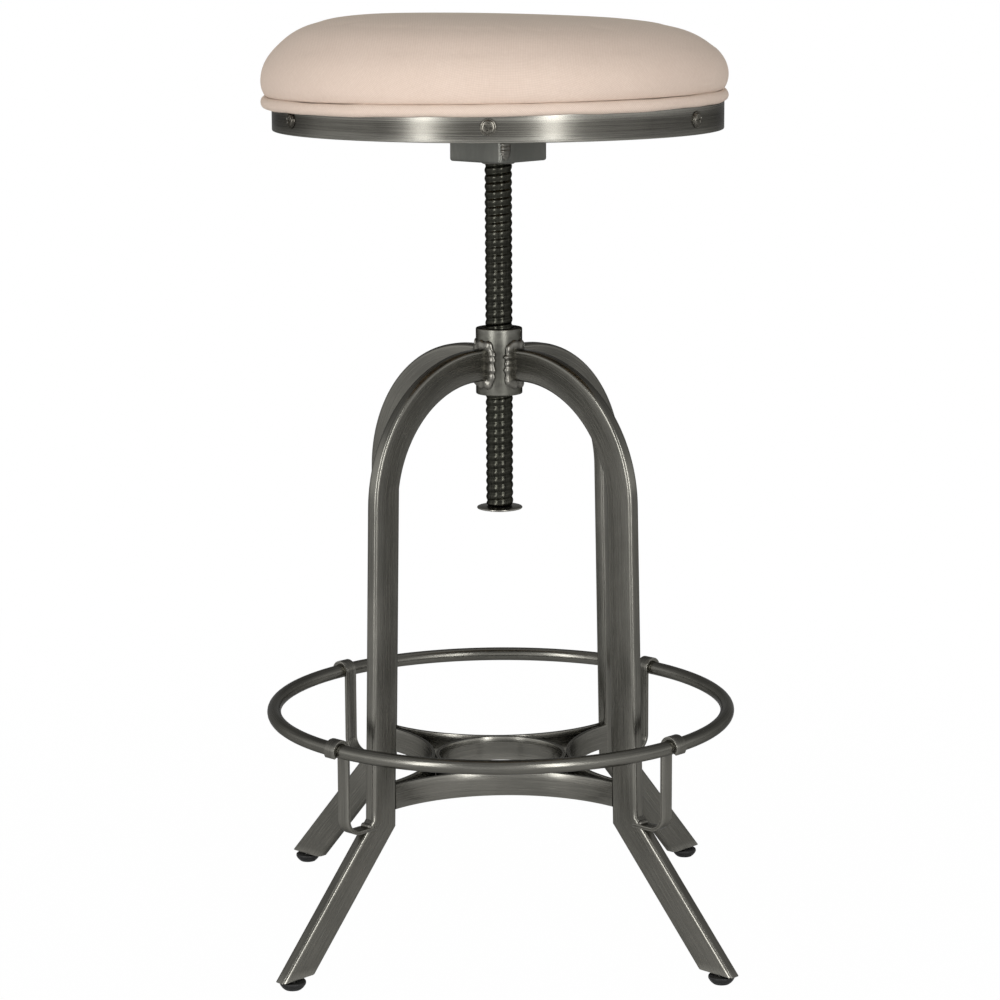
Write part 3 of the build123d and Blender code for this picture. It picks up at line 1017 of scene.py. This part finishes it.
@dataclass
class Frame(SubAssembly):
    """Hub, four arched oblong legs and the beads that weld them."""

    hub_r: float = 18.2
    hub_bore: float = 11.0
    hub_z: tuple[float, float] = (429.0, 481.0)
    hub_edge: float = 1.0
    depth: float = 25.0
    width: float = 10.5
    edge_r: float = 3.0
    wall: float = 1.5
    leg_r: float = 135.0
    lean: float = 1.5
    arm_out: float = 28.7
    arm_z: float = 453.4
    arm_in: float = 1.5          # how far the arm goes into the hub
    bend_z: float = 109.7
    splay: float = 42.0
    end_z: float = 7.8
    pocket: float = 12.0
    bead_r: float = 5.2

    def centreline(self) -> Array:
        """Level arm, arch and leaning stretch down to the corner of the foot, in the XZ plane.

        Returns:
            Points of the path.
        """
        tilt = math.tan(math.radians(self.lean))
        knee = self.leg_r - (self.arm_z - self.bend_z) * tilt
        arch_r = (knee - self.arm_out) / math.tan(math.radians(45 - self.lean / 2))
        arch = arc((self.arm_out, self.arm_z - arch_r), arch_r, 90, self.lean, count=56)
        leaning = np.linspace(arch[-1], [self.leg_r, self.bend_z], 20)[1:]
        return in_xz(np.concatenate([[[self.hub_r - self.arm_in, self.arm_z]], arch, leaning]))

    def tube(self, inset: float, along: Array) -> Array:
        """Rows of the oblong section on the centreline, and a last one at the level cut of the foot.

        A point of the section at offset a lies at path + w a n, with n square to the path and w = 1.
        At the corner n halves the turn t and w = 1 / cos(t / 2), so the foot meets the upright in a
        mitre.  From there each point runs on along the foot until it meets the floor-level cut.

        Args:
            inset: How far the section lies inside the tube's outer face.
            along: Direction of the foot.

        Returns:
            Rows by columns by 3.
        """
        loop = box_loop(self.depth - 2 * inset, self.width - 2 * inset, self.edge_r - inset, count=7)
        path = self.centreline()
        tangent = unit(np.gradient(path, axis=0))
        tangent[0], tangent[-1] = X_AXIS, unit(unit(path[-1] - path[-2]) + along)
        normal = np.cross(tangent, Y_AXIS)
        normal[-1] /= math.cos(math.radians(self.splay - self.lean) / 2)
        rows = path[:, None] + loop[:, :1] * normal[:, None] + loop[:, 1:] * Y_AXIS
        to_cut = (self.end_z - rows[-1, :, 2]) / along[2]
        return np.concatenate([rows, [rows[-1] + to_cut[:, None] * along]])

    def leg(self) -> Surface:
        """Leg in the XZ plane: the tube down to its cut, then in at the mouth and up its bore.

        Returns:
            The leg.
        """
        foot = math.radians(self.splay)
        along = np.array([math.sin(foot), 0, -math.cos(foot)])
        *body, end = self.tube(0, along)
        mouth = self.tube(self.wall, along)[-1]
        shares = [*np.linspace(0.08, 0.94, 9), 0.99, 1.0]
        splayed = [body[-1] + (end - body[-1]) * share for share in shares]
        points = np.stack([*body, *splayed, mouth, mouth - along * self.pocket])
        wear = np.zeros(points.shape[:2])
        wear[-4:-2] = 0.8
        outline = box_loop(self.depth, self.width, self.edge_r, count=7)
        return shell(points, lengths(points.mean(1)), closed_lengths(outline), False, wear)

    def hub_bead(self) -> Surface:
        """Bead round an arm on the hub: the tube's outline laid on the hub's cylinder.

        Returns:
            The bead of the arm along +X.
        """
        outline = box_loop(self.depth + 2, self.width + 1.6, self.edge_r + 1)
        x = np.sqrt(self.hub_r ** 2 - outline[:, 1] ** 2)
        path = np.stack([x + 0.4, outline[:, 1], self.arm_z + outline[:, 0]], -1)
        return bead(path, X_AXIS, self.bead_r, True, ripple=4.6, lump=0.18, proud=0.42)

    def build(self) -> None:
        """Make the hub and the legs."""
        low, high = self.hub_z
        loop = box_loop(self.hub_r - self.hub_bore, high - low, self.hub_edge) + np.array(
            [(self.hub_r + self.hub_bore) / 2, (low + high) / 2])
        sleeve = turned(loop, 96, corner_wear(loop) * 0.7, True)
        add_piece("hub_sleeve", [sleeve], self.finish.hub, ["hub"])
        for corner, leg in zip(CORNERS, four(self.leg())):
            add_piece(f"leg_tube_{corner}", [leg], self.finish.gunmetal, [f"leg_{corner}"], sharp=30)
        add_piece("hub_welds", four(self.hub_bead()), self.finish.weld)
        self.dress(self.finish.plastic, *(f"leg_plug_{corner}" for corner in CORNERS))


@dataclass
class FootRing(SubAssembly):
    """Round foot ring, held to each leg by a strip curled round it."""

    ring_r: float = 180.5
    bar_r: float = 5.5
    ring_z: float = 176.0
    round_steps: int = 288
    strip_w: float = 11.0
    strip_t: float = 3.0
    fit: float = 0.1
    hook: float = 215.0
    bend_r: float = 12.0
    foot_z: float = 108.0
    foot_r: float = 144.0        # where the strip ends in the leg
    weld_out: float = 6.2        # from there to the weld across its top
    weld_r: float = 2.1

    def bracket(self) -> Surface:
        """Strip in the XZ plane: round the bar from its outer side, down, and in to the leg.

        Returns:
            The strip.
        """
        curl = self.bar_r + self.fit + self.strip_t / 2
        drop = self.ring_r - curl
        path = np.concatenate([
            arc((self.ring_r, self.ring_z), curl, 180 - self.hook, 180, count=40),
            arc((drop - self.bend_r, self.foot_z + self.bend_r), self.bend_r, 0, -90, count=16),
            [[self.foot_r, self.foot_z]]])
        loop = box_loop(self.strip_t, self.strip_w, 0.5, count=3)
        return carried(loop, in_xz(even(path, 1.2)), Y_AXIS, False, corner_wear(loop) * 0.4)

    def build(self) -> None:
        """Make the ring, the brackets and their welds."""
        loop = circle_loop(self.bar_r, 24) + np.array([self.ring_r, self.ring_z])
        ring = turned(loop, self.round_steps, closed=True)
        add_piece("foot_ring_bar", [ring], self.finish.gunmetal, ["foot_ring"])
        for corner, strip in zip(CORNERS, four(self.bracket())):
            add_piece(f"ring_strip_{corner}", [strip], self.finish.gunmetal, [f"ring_bracket_{corner}"])
        x, z = self.foot_r + self.weld_out, self.foot_z + 2.0
        across = np.linspace([x, -self.strip_w / 2, z], [x, self.strip_w / 2, z], 9)
        add_piece("ring_strip_welds", four(bead(across, Z_AXIS, self.weld_r)), self.finish.weld)


@dataclass
class Brace(SubAssembly):
    """Round strip in the middle of the frame and the four arcs from leg to leg that touch it."""

    bottom_z: float = 118.3
    height: float = 19.5
    thick: float = 3.0
    edge: float = 0.45
    ring_r: float = 52.3
    arc_r: float = 118.0
    gap: float = 0.1
    end: float = 84.5            # how far to each side the arcs reach, just into the legs
    weld_y: float = 4.2
    weld_r: float = 1.3
    weld_end: float = 1.5        # how far the welds stay from the strips' edges

    def build(self) -> None:
        """Make the round strip, the arcs and the welds between them."""
        loop = box_loop(self.thick, self.height, self.edge, count=3)
        middle = np.array([self.ring_r - self.thick / 2, self.bottom_z + self.height / 2])
        ring = turned(loop + middle, 144, corner_wear(loop), True)
        add_piece("brace_round_strip", [ring], self.finish.gunmetal, ["brace_ring"])
        centre = self.ring_r + self.gap + self.thick / 2 + self.arc_r
        spread = math.degrees(math.asin(self.end / self.arc_r))
        path = lifted(arc((centre, 0), self.arc_r, 180 - spread, 180 + spread, count=72), middle[1])
        arcs = carried(loop, path, Z_AXIS, False, corner_wear(loop) * 0.25)
        for side, strip in zip(SIDES, four(arcs, 0)):
            add_piece(f"brace_strip_{side}", [strip], self.finish.gunmetal, [f"brace_arc_{side}"])
        welds = []
        x = self.ring_r + self.gap
        low, high = self.bottom_z + self.weld_end, self.bottom_z + self.height - self.weld_end
        for y in (-self.weld_y, self.weld_y):
            run = np.linspace([x, y, low], [x, y, high], 24)
            welds += four(bead(run, X_AXIS, self.weld_r), 0)
        add_piece("brace_welds", welds, self.finish.weld)


@dataclass
class Glides(SubAssembly):
    """Domed levelling pads on threaded studs."""

    glide_r: float = 229.35
    top_r: float = 10.0
    foot_r: float = 7.0
    height: float = 6.5
    roll_r: float = 1.2
    stud_r: float = 4.0

    def build(self) -> None:
        """Make each pad: a flat foot, a rounded flank and a rolled top edge, turned about its stud."""
        roll = arc((self.top_r - self.roll_r, self.height - self.roll_r), self.roll_r, 0, 90, count=6)
        flank = tangent_arcs([(self.foot_r, 0.4), (self.top_r, self.height - 2.2)], (0.62, 0.5), count=10)
        foot = [[self.foot_r * 0.5, 0.0], [self.foot_r - 0.5, 0.0]]
        pad = turned(np.concatenate([foot, flank, roll, [[self.stud_r, self.height]]]), 48)
        for corner, dome in zip(CORNERS, four(placed(pad, 0, (self.glide_r, 0, 0)))):
            add_piece(f"glide_dome_{corner}", [dome], self.finish.plastic, [f"glide_pad_{corner}"],
                      f"glide_{corner}")
        self.dress(self.finish.zinc, *(f"glide_stud_{corner}" for corner in CORNERS))


@dataclass(frozen=True)
class Lamp:
    """Soft light on a stand, out of the camera's sight; metres and watts."""

    name: str
    azimuth: float              # degrees from the camera
    distance: float
    height: float
    width: float
    tall: float
    power: float
    aim_z: float = 0.45

    def hang(self) -> None:
        """Put the light up, facing the stool."""
        light = bpy.data.lights.new(self.name, "AREA")
        light.shape, light.size, light.size_y, light.energy = "RECTANGLE", self.width, self.tall, self.power
        stand = bpy.data.objects.new(self.name, light)
        place = spun(np.array([0, -self.distance, self.height]), self.azimuth)
        stand.location = place.tolist()
        facing = self.aim_z * Z_AXIS - place
        level = math.hypot(facing[0], facing[1])
        stand.rotation_euler = (math.atan2(level, -facing[2]), 0, math.atan2(-facing[0], facing[1]))
        stand.visible_camera = False
        bpy.context.scene.collection.objects.link(stand)


@dataclass
class Studio:
    """Pale floor, soft lights and the camera of the photograph."""

    distance: float = 2355.2
    eye_z: float = 783.2
    pitch: float = 10.57
    turn: float = -1.5
    roll: float = -0.26
    aim: float = 0.2
    lens_px: float = 3037.5
    image_px: float = 1000.0
    sensor: float = 36.0
    floor_half: float = 300.0    # metres
    paper: str = "#f2f2f2"
    wall_light: float = 1.0
    ceiling_light: float = 0.4
    back_light: float = 0.45     # share of the room's light that comes from behind the seat
    lamps: tuple[Lamp, ...] = (
        Lamp("left_strip", -38.0, 2.3, 1.0, 0.42, 2.0, 22.0),
        Lamp("right_strip", 24.5, 2.4, 1.0, 0.38, 2.0, 23.0),
        Lamp("left_card", -88.0, 2.5, 0.9, 2.0, 1.8, 3.0),
        Lamp("overhead_softbox", 160.0, 0.7, 2.6, 1.8, 1.8, 1.5, aim_z=0.5))

    def camera(self) -> None:
        """Stand the camera where the photograph was taken from."""
        data = bpy.data.cameras.new("camera")
        data.sensor_width = self.sensor
        data.lens = self.sensor * self.lens_px / self.image_px
        data.clip_start, data.clip_end = 0.05, 1000
        eye = bpy.data.objects.new("camera", data)
        out = np.array([self.aim, -self.distance, self.eye_z])
        eye.location = (spun(out, self.turn) * MM).tolist()
        eye.rotation_mode = "XYZ"
        eye.rotation_euler = np.radians([90 - self.pitch, 0, self.turn]).tolist()
        eye.rotation_euler.rotate_axis("Z", math.radians(self.roll))
        bpy.context.scene.collection.objects.link(eye)
        bpy.context.scene.camera = eye

    def floor(self) -> None:
        """Lay a wide floor that reads white to the camera and still takes the shadow."""
        mesh = bpy.data.meshes.new("floor")
        corners = np.array([(-1, -1, 0), (1, -1, 0), (1, 1, 0), (-1, 1, 0)]) * self.floor_half
        mesh.from_pydata(corners.tolist(), [], [(0, 1, 2, 3)])
        floor = bpy.data.objects.new("floor", mesh)
        coat = Nodes(bpy.data.materials.new("white_paper"))
        away = coat.add_node("VectorMath", {0: coat.place()}, "Value", operation="LENGTH")
        bleached = coat.ranged(away, (0.2, 1.3), (0.99, 1.0), "SMOOTHSTEP")
        seen = coat.add_node("LightPath", {}, "Is Camera Ray")
        share = coat.arithmetic("MULTIPLY", seen, bleached)
        glow = coat.add_node("Emission", {"Color": WHITE, "Strength": 1.0})
        both = coat.add_node("MixShader", {0: share, 1: coat.shader.outputs[0], 2: glow})
        coat.feed(coat.tree.nodes["Material Output"], {"Surface": both})
        mesh.materials.append(coat.done({
            "Base Color": linear(self.paper), "Roughness": 0.9, "Specular IOR Level": 0.0}))
        bpy.context.scene.collection.objects.link(floor)

    def world(self) -> None:
        """White to the camera; to everything else a pale room, darker above and behind the seat."""
        room = Nodes(bpy.data.worlds.new("studio"), "Background")
        rays = (room.add_node("LightPath", {}, name) for name in ("Is Camera Ray", "Is Transmission Ray"))
        seen = room.arithmetic("MAXIMUM", *rays)
        where = room.add_node("TexCoord", {}, "Generated")
        y, z = (room.add_node("SeparateXYZ", {0: where}, axis) for axis in "YZ")
        above = room.ranged(z, (0.0, 0.6), (self.wall_light, self.ceiling_light), "SMOOTHSTEP")
        behind = room.ranged(y, (-0.3, 0.75), (1.0, self.back_light), "SMOOTHSTEP")
        light = room.arithmetic("MULTIPLY", above, behind)
        strength = room.ranged(seen, (0.0, 1.0), (light, 1.0))
        bpy.context.scene.world = room.done({"Color": WHITE, "Strength": strength})

    def build(self) -> None:
        """Set up camera, floor, world and lamps."""
        bpy.context.scene.view_settings.view_transform = "Standard"
        self.camera()
        self.floor()
        self.world()
        for lamp in self.lamps:
            lamp.hang()


def main() -> None:
    """Load the frame, build each sub-assembly in order and note the sizes."""
    logging.basicConfig(level=logging.INFO, format="%(name)s: %(message)s")
    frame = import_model()
    Studio().build()
    finish = Finishes()
    for part in (PaddedTop, RimBand, SeatBlock, LeadScrew, Frame, FootRing, Brace, Glides):
        part(finish, frame).build()


if __name__ == "__main__":
    main()
